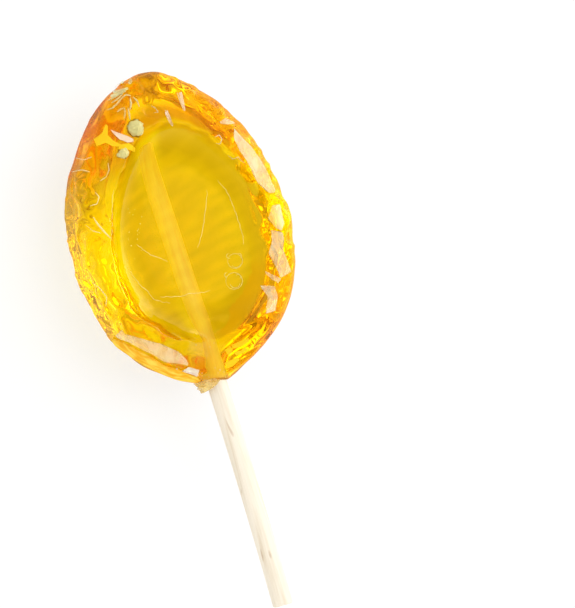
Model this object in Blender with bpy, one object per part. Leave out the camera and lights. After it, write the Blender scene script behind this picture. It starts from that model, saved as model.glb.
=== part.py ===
"""A honey candy spoon: a clear hard candy shaped like the bowl of a spoon, cast round a birch stick.

It lies on its rounded back with the bowl facing up (+Z). The stick runs along -Y and the tip of the
candy points along +Y. Sizes are in metres, and the origin is at the bottom centre of the whole.
"""
import math

import bmesh
import bpy
from mathutils import Vector, noise

MM = 0.001

# The candy, seen from above
WIDTH = 35.0 * MM
TIP_LENGTH = 25.9 * MM        # from the widest section to the rounded tip
NECK_LENGTH = 23.5 * MM       # from the widest section to the neck, where the stick leaves
TIP_TAPER = (0.17, 3)         # an ellipse's width is cut by first * s ** second towards the tip
NECK_TAPER = (0.48, 7)        # the same towards the neck

# The candy, seen from the side: depths are measured down from the plane of the rim
THICKNESS = 19.5 * MM
ROUND_BACK = 0.35 * MM        # how much of the round back the flat spot takes away
SEAM_SIDE = 5.5 * MM          # depth of the widest outline at the two sides
SEAM_TIP = 3.4 * MM           # the same at the tip
RIM_ROUNDNESS = 3.2           # superellipse power of the rim and the wall under it
NECK_RIM_ROUNDNESS = 1.8      # the same at the neck, where the rim slopes down to the stick
BACK_ROUNDNESS = 2.0          # the same of the back at the sides and the tip
NECK_ROUNDNESS = 2.5          # the same of the back at the blunt neck

# The bowl of the spoon, an egg-shaped hollow in the front
BOWL_DEPTH = 4.6 * MM
BOWL_HALF_WIDTH = 14.1 * MM
BOWL_HALF_LENGTH = 17.4 * MM
BOWL_CENTRE_Y = 0.6 * MM
BOWL_TAPER = 0.24             # how much narrower the bowl gets towards the tip
BOWL_POWER = 6.0              # a high power gives a flat floor and steep sides
BOWL_EDGE = 0.06              # rounds the lip, as a share of the bowl's depth

# The front dips towards the stick at the neck, so that the stick shows clearly
NECK_DIP = 3.6 * MM
NECK_DIP_WIDTH = 5.0 * MM
NECK_DIP_STARTS = (13.0 * MM, 17.5 * MM)   # how far from the widest section it sets in
NECK_DIP_ENDS = (17.5 * MM, 24.0 * MM)     # and fades out

# The wrinkles that clinging film leaves in the rim and the sides
FOLD_HEIGHT = 0.45 * MM
FOLD_LENGTH = 4.8 * MM
CREASE_HEIGHT = 0.30 * MM
CREASE_LENGTH = 3.2 * MM
SMOOTH_LIP = (0.94, 1.03)     # from and to these shares of the bowl's lip, the rim gets its wrinkles
SMOOTH_BACK = (0.88, 1.02)    # from and to these shares of the outline, the back gets its wrinkles

# The mesh of the candy: meridians all round, and rings in the bowl, over the rim and on the back
MERIDIANS = 100
BOWL_RINGS = 9
RIM_RINGS = 12
BACK_RINGS = 17
LIP_CROWDING = 0.75           # under 1, this draws the bowl's rings towards its lip

# The stick
STICK_DIAMETER = 3.2 * MM
STICK_LENGTH = 76.2 * MM
STICK_INNER_Y = 16.6 * MM     # how far past the widest section the stick reaches
STICK_DEPTH = 7.4 * MM        # depth of its axis at the widest section
STICK_RISE = 0.060            # it rises by this much for each metre outwards
STICK_BOW = 0.50              # how far it bows sideways: metres for each square metre along it
STICK_BOW_Y = -21.0 * MM      # where the axis stands furthest to the right
STICK_BOW_X = -0.74 * MM
STICK_CHAMFER = 0.25 * MM
STICK_SIDES = 24
STICK_STEPS = 15

# The film gathered round the stick, just under the neck
GAP = 0.3 * MM
FILM_START_Y = -NECK_LENGTH - 0.2 * MM
FILM_LENGTH = 1.8 * MM
FILM_WALL = 0.30 * MM
FILM_PLEAT = 0.35 * MM
FILM_PLEATS = (7, 4)
FILM_TUFT = 1.5 * MM          # how far the gather stands out on the left
FILM_SIDES = 36
FILM_STEPS = 4


def clear_scene():
    for obj in list(bpy.data.objects):
        bpy.data.objects.remove(obj, do_unlink=True)


def make_material(name, colour, roughness, transmission=0.0):
    material = bpy.data.materials.new(name)
    material.use_nodes = True
    shader = material.node_tree.nodes["Principled BSDF"]
    shader.inputs["Base Color"].default_value = (*colour, 1.0)
    shader.inputs["Roughness"].default_value = roughness
    shader.inputs["Metallic"].default_value = 0.0
    shader.inputs["Transmission Weight"].default_value = transmission
    return material


def make_object(name, mesh_builder, material):
    mesh = bpy.data.meshes.new(name)
    mesh_builder.normal_update()
    mesh_builder.to_mesh(mesh)
    mesh_builder.free()
    obj = bpy.data.objects.new(name, mesh)
    bpy.context.scene.collection.objects.link(obj)
    mesh.materials.append(material)
    mesh.shade_smooth()
    mesh.set_sharp_from_angle(angle=math.radians(40))
    return obj


def smooth_step(low, high, value):
    share = min(max((value - low) / (high - low), 0.0), 1.0)
    return share * share * (3.0 - 2.0 * share)


def outline_point(around):
    """The widest outline at an angle: 0 is the right side, +90 degrees the tip and -90 the neck."""
    along = math.sin(around)
    taper, power = TIP_TAPER if along > 0 else NECK_TAPER
    length = TIP_LENGTH if along > 0 else NECK_LENGTH
    across = math.cos(around) * (1.0 - taper * abs(along) ** power)
    return across * WIDTH / 2, along * length


def bowl_point(around, reach):
    """A point of the bowl in plan: reach is 0 in the middle and 1 on the lip."""
    along = reach * math.sin(around)
    half_width = BOWL_HALF_WIDTH * (1.0 - BOWL_TAPER * along)
    return half_width * reach * math.cos(around), BOWL_CENTRE_Y + BOWL_HALF_LENGTH * along


def bowl_reach(x, y):
    """The reach of a point in plan, over 1 outside the lip."""
    along = (y - BOWL_CENTRE_Y) / BOWL_HALF_LENGTH
    half_width = BOWL_HALF_WIDTH * (1.0 - BOWL_TAPER * along)
    return math.hypot(x / half_width, along)


def bowl_sink(x, y):
    """How far the bowl sinks the front, with its lip rounded."""
    left = 1.0 - bowl_reach(x, y) ** BOWL_POWER
    return BOWL_DEPTH * 0.5 * (left + math.hypot(left, BOWL_EDGE))


def over_stick(point):
    """1 over the stick at the neck, and less to its sides and towards the bowl."""
    return smooth_step(*NECK_DIP_STARTS, -point.y) * math.exp(-(point.x / NECK_DIP_WIDTH) ** 2)


def neck_dip(point):
    """How far the front is sunk over the stick at the neck."""
    ends = 1.0 - smooth_step(*NECK_DIP_ENDS, -point.y)
    near_front = smooth_step(-SEAM_TIP, -SEAM_TIP / 2, point.z)
    return NECK_DIP * over_stick(point) * ends * near_front


def stick_axis(y):
    """The stick's axis at y, with the plane of the rim at z = 0."""
    x = STICK_BOW_X - STICK_BOW * (y - STICK_BOW_Y) ** 2
    return Vector((x, y, -STICK_DEPTH - STICK_RISE * y))


def seam_depth(along):
    """Depth of the widest outline: shallow at the tip, and level with the stick at the neck."""
    if along > 0:
        return SEAM_SIDE + (SEAM_TIP - SEAM_SIDE) * smooth_step(0.4, 1.0, along)
    at_neck = -stick_axis(-NECK_LENGTH).z
    return SEAM_SIDE + (at_neck - SEAM_SIDE) * smooth_step(0.4, 1.0, -along)


def quarter_arc(turn, power):
    """A quarter of a superellipse: level goes from 1 to 0 and rise from 0 to 1 as turn grows."""
    level, rise = math.cos(turn), math.sin(turn)
    size = (level ** power + rise ** power) ** (-1.0 / power)
    return level * size, rise * size


def rim_point(around, turn):
    """The rim and the wall under it: from the widest outline, at turn 0, up and in to the lip."""
    along = math.sin(around)
    at_neck = smooth_step(0.6, 1.0, -along)
    level, rise = quarter_arc(turn, RIM_ROUNDNESS + (NECK_RIM_ROUNDNESS - RIM_ROUNDNESS) * at_neck)
    outline, lip = outline_point(around), bowl_point(around, 1.0)
    x, y = (inner + (outer - inner) * level for outer, inner in zip(outline, lip))
    return Vector((x, y, (rise - 1.0) * seam_depth(along)))


def back_point(around, turn):
    """The rounded back: from the widest outline, at turn 0, down to the middle of the flat spot."""
    along = math.sin(around)
    power = BACK_ROUNDNESS + (NECK_ROUNDNESS - BACK_ROUNDNESS) * smooth_step(0.3, 1.0, -along)
    level, rise = quarter_arc(turn, power)
    x, y = outline_point(around)
    seam = seam_depth(along)
    return Vector((x * level, y * level, -seam - (THICKNESS + ROUND_BACK - seam) * rise))


def candy_rings():
    """Functions of the angle, one for each ring, from the middle of the bowl to that of the back."""
    rings = []
    for step in range(1, BOWL_RINGS):
        reach = (step / BOWL_RINGS) ** LIP_CROWDING
        rings.append(lambda around, reach=reach: Vector((*bowl_point(around, reach), 0.0)))
    for step in range(RIM_RINGS):
        turn = math.pi / 2 * (1.0 - step / RIM_RINGS)
        rings.append(lambda around, turn=turn: rim_point(around, turn))
    for step in range(BACK_RINGS):
        turn = math.pi / 2 * step / BACK_RINGS
        rings.append(lambda around, turn=turn: back_point(around, turn))
    return rings


def wrinkle_height(point):
    """Folds and sharper creases, standing out and sunk in by like amounts."""
    fold = noise.noise(point / FOLD_LENGTH)
    crease = noise.noise(point / CREASE_LENGTH + Vector((7.3, 1.9, 4.1)))
    return FOLD_HEIGHT * fold + CREASE_HEIGHT * (0.2 - abs(crease))


def wrinkle_share(point):
    """Where the film lies wrinkled: the rim and the sides, not the bowl, the dip or the back's middle."""
    if point.z > -SEAM_SIDE:
        return smooth_step(*SMOOTH_LIP, bowl_reach(point.x, point.y)) * (1.0 - over_stick(point))
    along = point.y / (TIP_LENGTH if point.y > 0 else NECK_LENGTH)
    return smooth_step(*SMOOTH_BACK, math.hypot(point.x * 2 / WIDTH, along))


def join_rings(builder, first, second):
    for index in range(len(first)):
        after = (index + 1) % len(first)
        builder.faces.new((first[index], second[index], second[after], first[after]))


def fan(builder, middle, points):
    for index in range(len(points)):
        after = (index + 1) % len(points)
        builder.faces.new((middle, points[index], points[after]))


def candy_surface():
    """The smooth candy with its bowl and its flat spot, before any wrinkle."""
    builder = bmesh.new()
    turns = [2 * math.pi * index / MERIDIANS for index in range(MERIDIANS)]
    rings = []
    for place in candy_rings():
        rings.append([builder.verts.new(place(around)) for around in turns])
    for first, second in zip(rings, rings[1:]):
        join_rings(builder, first, second)
    fan(builder, builder.verts.new((0.0, BOWL_CENTRE_Y, 0.0)), rings[0])
    fan(builder, builder.verts.new((0.0, 0.0, -THICKNESS - ROUND_BACK)), rings[-1])
    for vertex in builder.verts:
        if vertex.co.z > -SEAM_TIP:
            vertex.co.z -= bowl_sink(vertex.co.x, vertex.co.y) + neck_dip(vertex.co)
    bmesh.ops.recalc_face_normals(builder, faces=builder.faces[:])
    return builder


def build_candy(material):
    builder = candy_surface()
    builder.normal_update()
    for vertex, normal in [(v, v.normal.copy()) for v in builder.verts]:
        height = wrinkle_height(vertex.co) * wrinkle_share(vertex.co)
        vertex.co += normal * height
        vertex.co.z = max(vertex.co.z, -THICKNESS)
    return make_object("candy", builder, material)


def axis_frame(y):
    """The stick's axis at y, and two directions across it."""
    centre = stick_axis(y)
    heading = (stick_axis(y + MM) - stick_axis(y - MM)).normalized()
    right = heading.cross(Vector((0, 0, 1))).normalized()
    return centre, right, right.cross(heading)


def ring(builder, y, radii):
    """A ring of points round the stick's axis at y, one for each radius."""
    centre, right, up = axis_frame(y)
    points = []
    for index, radius in enumerate(radii):
        turn = 2 * math.pi * index / len(radii)
        place = centre + (right * math.cos(turn) + up * math.sin(turn)) * radius
        points.append(builder.verts.new(place))
    return points


def rod(radius, ends, chamfer, sides):
    """A closed rod along the stick's axis, from the first y to the second, with chamfered ends."""
    start, end = ends
    stations = [(start, radius - chamfer)] if chamfer else []
    inner_start, inner_end = start - chamfer, end + chamfer
    for step in range(STICK_STEPS + 1):
        stations.append((inner_start + (inner_end - inner_start) * step / STICK_STEPS, radius))
    if chamfer:
        stations.append((end, radius - chamfer))
    builder = bmesh.new()
    rings = [ring(builder, y, [size] * sides) for y, size in stations]
    for first, second in zip(rings, rings[1:]):
        join_rings(builder, first, second)
    builder.faces.new(rings[0])
    builder.faces.new(reversed(rings[-1]))
    bmesh.ops.recalc_face_normals(builder, faces=builder.faces[:])
    return builder


def build_stick(material):
    ends = (STICK_INNER_Y, STICK_INNER_Y - STICK_LENGTH)
    return make_object("stick", rod(STICK_DIAMETER / 2, ends, STICK_CHAMFER, STICK_SIDES), material)


def cut_socket(candy, material):
    """Takes the stick's blind socket out of the candy."""
    ends = (STICK_INNER_Y + GAP, -NECK_LENGTH - 4 * MM)
    cutter = make_object("socket_cutter", rod(STICK_DIAMETER / 2 + GAP, ends, 0.0, STICK_SIDES), material)
    cutter.hide_render = True
    cutter.display_type = "WIRE"
    cut = candy.modifiers.new("socket", "BOOLEAN")
    cut.operation = "DIFFERENCE"
    cut.solver = "EXACT"
    cut.object = cutter
    return cutter


def film_radius(turn, step):
    """Outer radius of the gathered film: pleats all round, and a tuft on the left side."""
    share = step / FILM_STEPS
    many, few = FILM_PLEATS
    pleat = 0.5 + 0.3 * math.cos(many * turn + 1.1 * share) + 0.2 * math.cos(few * turn + 2.0)
    tuft = max(-math.cos(turn), 0.0) ** 3
    open_end = 1.0 - 0.55 * share
    return STICK_DIAMETER / 2 + GAP + FILM_WALL + (FILM_PLEAT * pleat + FILM_TUFT * tuft) * open_end


def build_film(material):
    """A short pleated collar of film, open in the middle where the stick goes through."""
    builder = bmesh.new()
    turns = [2 * math.pi * index / FILM_SIDES for index in range(FILM_SIDES)]
    outer = []
    inner = []
    for step in range(FILM_STEPS + 1):
        y = FILM_START_Y - FILM_LENGTH * step / FILM_STEPS
        outer.append(ring(builder, y, [film_radius(turn, step) for turn in turns]))
        inner.append(ring(builder, y, [STICK_DIAMETER / 2 + GAP] * FILM_SIDES))
    for step in range(FILM_STEPS):
        join_rings(builder, outer[step], outer[step + 1])
        join_rings(builder, inner[step + 1], inner[step])
    join_rings(builder, inner[0], outer[0])
    join_rings(builder, outer[-1], inner[-1])
    bmesh.ops.recalc_face_normals(builder, faces=builder.faces[:])
    return make_object("film_gather", builder, material)


def stand_on_origin(solids, helpers):
    """Moves all the meshes so that the origin is at the bottom centre of the whole."""
    bpy.context.view_layer.update()
    corners = [v.co for obj in solids for v in obj.data.vertices]
    low = Vector(min(c[axis] for c in corners) for axis in range(3))
    high = Vector(max(c[axis] for c in corners) for axis in range(3))
    shift = Vector((-(low.x + high.x) / 2, -(low.y + high.y) / 2, -low.z))
    for obj in solids + helpers:
        for vertex in obj.data.vertices:
            vertex.co += shift


def main():
    clear_scene()
    honey = make_material("honey_candy", (0.90, 0.55, 0.03), 0.05, 1.0)
    birch = make_material("birch", (0.86, 0.78, 0.62), 0.6)
    clear_film = make_material("clear_film", (0.95, 0.95, 0.93), 0.05, 1.0)
    candy = build_candy(honey)
    stick = build_stick(birch)
    film = build_film(clear_film)
    cutter = cut_socket(candy, honey)
    stand_on_origin([candy, stick, film], [cutter])


main()
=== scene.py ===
"""The looks of a honey candy spoon: clear amber candy, birch stick and clinging clear film."""
import math
import random

import bpy
import numpy as np
from mathutils import Matrix, Vector, noise
from mathutils.bvhtree import BVHTree


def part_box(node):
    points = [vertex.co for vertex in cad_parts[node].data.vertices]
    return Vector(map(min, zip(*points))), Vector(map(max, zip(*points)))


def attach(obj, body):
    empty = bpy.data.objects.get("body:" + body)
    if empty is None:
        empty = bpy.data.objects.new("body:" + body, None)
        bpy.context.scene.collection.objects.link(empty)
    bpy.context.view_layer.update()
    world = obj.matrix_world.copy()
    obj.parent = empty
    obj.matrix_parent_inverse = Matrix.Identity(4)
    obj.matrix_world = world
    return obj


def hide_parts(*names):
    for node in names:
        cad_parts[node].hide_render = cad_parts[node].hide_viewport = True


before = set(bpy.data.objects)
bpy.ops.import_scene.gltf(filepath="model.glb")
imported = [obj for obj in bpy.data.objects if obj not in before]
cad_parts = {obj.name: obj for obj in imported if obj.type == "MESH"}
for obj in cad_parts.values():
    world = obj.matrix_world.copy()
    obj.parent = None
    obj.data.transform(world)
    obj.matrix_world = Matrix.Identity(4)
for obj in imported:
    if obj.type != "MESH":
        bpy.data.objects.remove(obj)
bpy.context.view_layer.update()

MM = 0.001
scene = bpy.context.scene

# The candy's sizes, as the solids have them, with the plane of the rim at z = 0
WIDTH = 35.0 * MM
TIP_LENGTH = 25.9 * MM
NECK_LENGTH = 23.5 * MM
TIP_TAPER = (0.17, 3)
NECK_TAPER = (0.48, 7)
THICKNESS = 19.5 * MM
ROUND_BACK = 0.35 * MM
SEAM_SIDE = 5.5 * MM
SEAM_TIP = 3.4 * MM
RIM_ROUNDNESS = 3.2
NECK_RIM_ROUNDNESS = 1.8
BACK_ROUNDNESS = 2.0
NECK_ROUNDNESS = 2.5
BOWL_DEPTH = 4.6 * MM
BOWL_HALF_WIDTH = 14.1 * MM
BOWL_HALF_LENGTH = 17.4 * MM
BOWL_CENTRE_Y = 0.6 * MM
BOWL_TAPER = 0.24
BOWL_POWER = 6.0
BOWL_EDGE = 0.06
NECK_DIP = 3.6 * MM
NECK_DIP_WIDTH = 5.0 * MM
NECK_DIP_STARTS = (13.0 * MM, 17.5 * MM)
NECK_DIP_ENDS = (17.5 * MM, 24.0 * MM)
SEAM_TURNS = 0.4              # how far along the candy its widest outline starts to change its depth
NECK_RIM_STARTS = 0.6         # how far along the rim and the back take on their forms at the neck
NECK_BACK_STARTS = 0.3
FOLD_HEIGHT = 0.45 * MM
FOLD_LENGTH = 4.8 * MM
CREASE_HEIGHT = 0.30 * MM
CREASE_LENGTH = 3.2 * MM
SMOOTH_LIP = (0.94, 1.03)
SMOOTH_BACK = (0.88, 1.02)
LEFT_LIP = 0.13               # on the left the finer wrinkles set in this much nearer the middle
LEFT_LIP_ACROSS = (0.3, 0.6)  # where the left begins and is full, as shares of the half width
CREASE_LEVEL = 0.2
CREASE_EDGE = 0.05            # how blunt the creases are
CREASE_SEED = Vector((7.3, 1.9, 4.1))
CALM_RIGHT = 0.85             # how much calmer the rim lies at the lower right
LOW_RIGHT_ACROSS = (0.1, 0.4) # where that begins and is full, as shares of the half width
LOW_RIGHT_DOWN = (0.2, 0.45)  # and of the length to the neck

# The curled folds of the film, finer than the solid's
CURL_HEIGHT = 0.25 * MM
CURL_LENGTH = 3.8 * MM
CURL_WIDTH = 0.20             # as a share of the curl length
CURL_SPREAD = (-0.1, 0.2)     # noise from which the curls begin and are full
CURL_SPREAD_LENGTH = 7.0 * MM
CURL_SPREAD_SEED = Vector((3.0, 8.0, 1.0))
SWIRL = 0.6                   # how much the curls' lines swirl
SWIRL_LENGTH = 5.0 * MM
SWIRL_SEED = 1                # without a seed the swirl would differ each time
LEFT_CURLS = 1.3              # how much more curled the left side is
LEFT_CURLS_ACROSS = (0.65, 0.80)

# The fine mesh of the candy
MERIDIANS = 480
BOWL_RINGS = 60
RIM_RINGS = 60
BACK_RINGS = 70
LIP_CROWDING = 0.75

# The stick, as the solid has it
STICK_DIAMETER = 3.2 * MM
STICK_LENGTH = 76.2 * MM
STICK_INNER_Y = 16.6 * MM
STICK_DEPTH = 7.4 * MM
STICK_RISE = 0.060
STICK_BOW = 0.50
STICK_BOW_Y = -21.0 * MM
STICK_BOW_X = -0.74 * MM

# The gathered film, as the solid has it, and its finer crumples
GAP = 0.3 * MM
FILM_START_Y = -NECK_LENGTH - 0.2 * MM
FILM_LENGTH = 1.8 * MM
FILM_WALL = 0.30 * MM
FILM_PLEAT = 0.35 * MM
FILM_PLEATS = (7, 4)
PLEAT_SHARES = (0.5, 0.3, 0.2)
PLEAT_TWIST = 1.1
PLEAT_START = 2.0
FILM_TUFT = 1.5 * MM
FILM_CLOSES = 0.55            # how much the pleats and the tuft draw in towards the film's end
SHORT_SIDE = 0.30             # its length on the right, as a share of the left
GATHER_SIDES = 180
GATHER_STEPS = 24
GATHER_LAPS = 1.2 * MM        # how far it laps onto the candy
CLING = 0.12                  # how close it clings to the stick on the right
CLING_ENDS = (-0.2, 0.6)
CRUMPLE_HEIGHT = 0.35 * MM
CRUMPLE_LENGTH = 0.9 * MM

# The photograph's frame and the camera's view of the spoon
FRAME_PIXELS = (575, 608)
PIXEL = 0.156 * MM            # size of a pixel at the candy
CANDY_PIXEL = (180.1, 237.4)  # where the middle of the widest section shows
VIEW_LEAN = math.radians(25)  # the camera stands this far round to the candy's left
VIEW_ROLL = math.radians(16.3)
CAMERA_DISTANCE = 0.7
SENSOR = 36.0                 # millimetres

# The room's light level, and its soft lights: direction, inner and outer radius in degrees, strength
ROOM_LEVEL = 0.80
ROOM_LIGHTS = [
    ((0.15, 0.1, 1.0), 14, 26, 2.4),
    ((0.0, 0.0, -1.0), 100, 125, 0.45),
    ((1.0, 0.1, 0.45), 20, 50, 0.5),
    ((1.0, 0.2, 0.30), 12, 16, 2.0),
    ((0.0, -1.0, 0.35), 12, 30, 0.6),
]
FLOOR_ALBEDO = 0.28
FLOOR_GLOW = 0.69
FLOOR_HALF = 3.0
FLOOR_HEIGHT = -0.05 * MM

# How much red, green and blue the candy's skin lets through, and how much of that each region does: the
# region tints are painted shade, darkening their regions, and on the left painted light, raising the green
CANDY_TINT = (0.955, 0.725, 0.165)
REGION_SHADE_AND_LIGHT_TINTS = {
    "bowl": (0.905, 0.82, 0.5),
    "far wall": (0.64, 0.58, 1.0),
    "tip": (0.71, 0.30, 0.5),
    "tip wall": (0.92, 0.70, 0.6),
    "neck": (1.0, 0.84, 0.9),
    "left": (1.0, 1.22, 0.4),
    "upper left": (0.86, 0.72, 0.7),
    "low right": (0.98, 0.72, 0.8),
}

# Where the regions begin and are full, or are full and end. Those of the bowl and the rim are
# shares of the way from the bowl's middle to its lip, so that more than 1 is on the rim.
BOWL_ENDS = (0.97, 0.99)
WALL_STARTS = (0.60, 0.80)
TIP_WALL_STARTS = (0.92, 0.97)
TIP_WALL_ENDS = (0.98, 1.03)
TIP_STARTS = (0.98, 1.03)
TIP_ENDS = (1.08, 1.25)
TIP_EDGE_STARTS = (1.20, 1.32)
UPPER_LEFT_STARTS = (1.15, 1.30)

# The others are shares of the candy's half width, or of its length to the tip or the neck
FAR_SIDE = (-0.35, 0.35)
FAR_SLANT = (0.9, 0.5)            # how much right and how much along counts as far
NECK_DOWN = (0.60, 0.75)
TIP_UP = (0.35, 0.60)
TIP_EDGE_UP = (0.5, 0.8)
LEFT_ACROSS = (0.45, 0.65)
LEFT_ENDS_UP = (0.3, 0.6)
UPPER_LEFT_ACROSS = (0.1, 0.4)
UPPER_LEFT_UP = (0.40, 0.60)
STICK_SHOWS_AT = -2.4 * MM        # the strip of the bowl that the stick is seen through stays clear
STICK_SHOWS_WIDTH = 2.3 * MM
MOTTLE = 0.15                     # how much ripples change the tint of the bowl
MOTTLE_LENGTHS = (4.5 * MM, 1.3 * MM)
TINT_WAVER = 0.035                # how far the borders of the tints stray, as a share of the bowl
TINT_WAVER_LENGTH = 2.2 * MM

PAINTED_GLOW = 0.02                       # painted light: how strongly the candy glows outside the bowl
LEFT_PAINTED_GLOW = 0.12                  # more of it at the left
TIP_PAINTED_GLOW = 0.04                   # at the tip
LOW_PAINTED_GLOW = 0.05                   # and at the lower right
PAINTED_GLOW_COLOUR = (1.0, 0.62, 0.01)

CANDY_IOR = 1.5
GLARE_COLOUR = (0.4, 0.25, 0.04)
GLARE_TAKEN = 0.85                # how much of the glare is taken off the candy's edges
GLARE_FACING = (0.35, 0.85)       # how far turned away the edges are where that begins and is full
BODY_COLOUR = (0.991, 0.971, 0.02)
BODY_DENSITY = 380.0

# The wood: its grain and flecks, each as how it is drawn out, its detail and its stops of colour
GRAIN = ((1500.0, 45.0, 1500.0), 4.0)
GRAIN_STOPS = [(0.30, (0.74, 0.64, 0.48)), (0.55, (0.86, 0.78, 0.64))]
FLECKS = ((700.0, 160.0, 700.0), 1.0)
FLECK_STOPS = [(0.70, (0.0, 0.0, 0.0)), (0.76, (0.8, 0.8, 0.8))]
FLECK_COLOUR = (0.50, 0.33, 0.18)
STICK_PAINTED_GLOW = 0.30                # painted light: how much the wood in the candy glows, in place of light from all round
STICK_GLOW_COLOUR = (1.0, 0.72, 0.15)
STICK_GLOW_RISE = 2.0 * MM            # how far inside the neck that glow is full

# The films: colour, milkiness and roughness
FILM_IOR = 1.45
FILMS = {
    "fold_line_film": ((1.0, 0.90, 0.36), 0.75, 0.3),
    "ring_film": ((1.0, 0.84, 0.20), 0.6, 0.3),
    "streak_film": ((1.0, 0.90, 0.50), 0.40, 0.15),
    "hem_highlight_film": ((1.0, 0.86, 0.62), 0.6, 0.2),
    "taut_film_highlight": ((1.0, 0.94, 0.68), 0.26, 0.1),
    "white_film": ((0.92, 0.95, 0.85), 0.35, 0.1),
    "flake_film": ((0.86, 0.84, 0.42), 0.40, 0.2),
    "band_highlight_film": ((1.0, 0.90, 0.56), 0.24, 0.1),
    "pink_highlight_film": ((1.0, 0.86, 0.66), 0.35, 0.1),
    "gather_film": ((1.0, 0.80, 0.30), 0.28, 0.05),
}
VEIL_VARIES = 0.45                # how much the film's milkiness varies
VEIL_NOISE = (0.35, 0.65)
VEIL = ((700.0, 250.0, 700.0), 3.0)

# The candy's lower lip
HEM_MOTTLE = ((500.0, 500.0, 1200.0), 3.0)
HEM_STOPS = [(0.40, (0.88, 0.42, 0.02)), (0.62, (1.0, 0.68, 0.09))]

# Froth balls by the stick's inner end, as pixel and diameter in pixels
FROTH = [((135, 128), 17), ((124, 153), 11), ((119, 155), 5), ((140, 131), 8)]
FROTH_SINKS = 0.35               # how deep their middles lie, as a share of their radius
FROTH_LUMPS = 0.25
FROTH_LUMP_LENGTH = 0.28 * MM

# Specks beside the stick: how many, the corners of where they lie in pixels, and their sizes
SPECKS = 18
SPECK_SEED = 7
SPECK_PIXELS = ((127, 205), (145, 270))
SPECK_SIZES = (0.10 * MM, 0.18 * MM)

# Thin pale folds of film over the bowl, as pixels along each
FOLD_LINE_RADIUS = 0.035 * MM
FOLD_LINE_WIGGLE = 0.12 * MM
FOLD_LINES = [
    [(217, 180), (226, 190), (232, 203), (238, 220), (242, 232), (244, 245)],
    [(207, 190), (206, 205), (204, 222), (201, 236), (198, 248)],
    [(137, 245), (144, 250), (152, 256), (160, 258), (168, 262)],
    [(125, 265), (133, 275), (140, 285), (148, 292), (155, 300), (163, 302), (170, 303)],
    [(160, 297), (175, 297), (188, 294), (200, 293), (210, 291)],
    # this last line, along the bowl's left lip, is a painted highlight
    [(113, 190), (112, 203), (112, 217), (112, 230), (111, 241)],
]

# Round marks of bubbles, whose inner crescents are painted highlights: pixel and diameter in pixels, first
# and last angle in degrees
RING_MARK_STEPS = 12
RING_MARK_RADIUS = 0.07 * MM
RING_MARKS = [
    ((235, 261), 15, 200, 560),
    ((236, 263), 9, 10, 150),
    ((239, 256), 5, -120, 60),
    ((229, 256), 5, 60, 260),
    ((234, 281), 17, 150, 510),
    ((235, 283), 10, 0, 170),
    ((238, 277), 5, -140, 40),
    ((227, 275), 5, 90, 270),
]

# Pale streaks on the rim, which are painted highlights, and curls of film, both thicker in their middle
STREAK_RADIUS = 0.16 * MM
STREAKS = [
    [(177, 93), (180, 101), (184, 111)],
    [(165, 110), (168, 117), (173, 124)],
    [(93, 217), (99, 226), (110, 238)],
]
CURL_LINE_RADIUS = 0.09 * MM
CURLS = [
    [(108, 163), (109, 170), (106, 177), (100, 181)],
    [(215, 137), (219, 135), (222, 139), (220, 144), (216, 143)],
    [(228, 155), (233, 159), (238, 157), (241, 161), (245, 163)],
    [(151, 106), (155, 108), (158, 112), (154, 113)],
    [(76, 158), (84, 160), (92, 157)],
    [(72, 172), (82, 170), (90, 172)],
    [(95, 192), (99, 197), (97, 204), (90, 206)],
    [(86, 225), (93, 231), (101, 233)],
    [(92, 282), (100, 288), (107, 297), (106, 306)],
]
LINE_POINTS = 6               # points of a line for each of its pixels
LINE_STANDS_OUT = 0.4         # how far it stands out of the candy, as a share of its radius
LINE_END = 0.25               # radius of its ends, as a share of its middle's
LINE_TAPER = 0.7

# Film that lies smooth on the rim, whose pale milky colour is a painted reflection of light: the outer and
# the inner edge of each piece in pixels
FILM_HIGHLIGHT_PATCHES = [
    ([(233, 128), (241, 137), (252, 147), (262, 162), (268, 173), (275, 191)],
     [(233, 138), (239, 152), (246, 162), (250, 170), (257, 183), (268, 194), (274, 193)]),
    ([(272, 205), (280, 203.5), (284, 224)], [(271, 213), (268, 219), (276, 228), (282, 231)]),
    ([(271, 229), (284, 231), (285, 239), (284, 248), (291, 272)],
     [(273, 242), (268, 254), (278, 272), (281, 279)]),
    ([(265, 271), (274, 275), (282, 279)], [(266, 274), (272, 280), (279, 284)]),
    ([(260, 286), (276, 286), (278, 296), (275, 311)], [(262, 289), (268, 298), (265, 314)]),
    ([(219, 122), (225, 118), (234, 123)], [(220, 124), (227, 125), (233, 124)]),
]

# The broad band of film at the lower left, whose pale colour is a painted reflection of light
BAND_HIGHLIGHT = [
    ([(115, 336), (123, 327), (124, 333), (141, 337), (153, 341), (162, 343), (178, 351),
      (186, 358), (188, 364)],
     [(120, 338), (130, 342), (142, 349), (153, 354), (164, 362), (182, 364), (188, 365)]),
]

# Flakes and threads of pale film at the tip's left
FLAKES = [
    ([(115, 88), (118, 83), (124, 82)], [(115.5, 89), (119, 85.5), (125, 84)]),
    ([(113, 92), (118, 91), (127, 88)], [(114, 95), (119, 93.5), (129, 90)]),
    ([(111, 96), (117, 94), (124, 91)], [(111.5, 99), (117, 97), (126, 92.5)]),
    ([(128, 84), (130, 80), (132, 80)], [(130, 85), (132, 84), (133, 82)]),
]
FLAKE_RADIUS = 0.16 * MM
FLAKE_LINES = [
    [(107, 110), (112, 108.5), (117, 104), (122, 98), (126, 95), (131, 96)],
    [(108, 101), (114, 98), (121, 94), (128, 88)],
    [(112, 103), (118, 99), (123, 94)],
    [(124, 107), (125, 112), (124, 119)],
    [(130, 98), (131, 104), (130, 110)],
    [(133, 97), (137, 101), (139, 107)],
    [(128, 108), (129, 114), (130, 120)],
    [(117, 112), (121, 109), (124, 108)],
]

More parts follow.
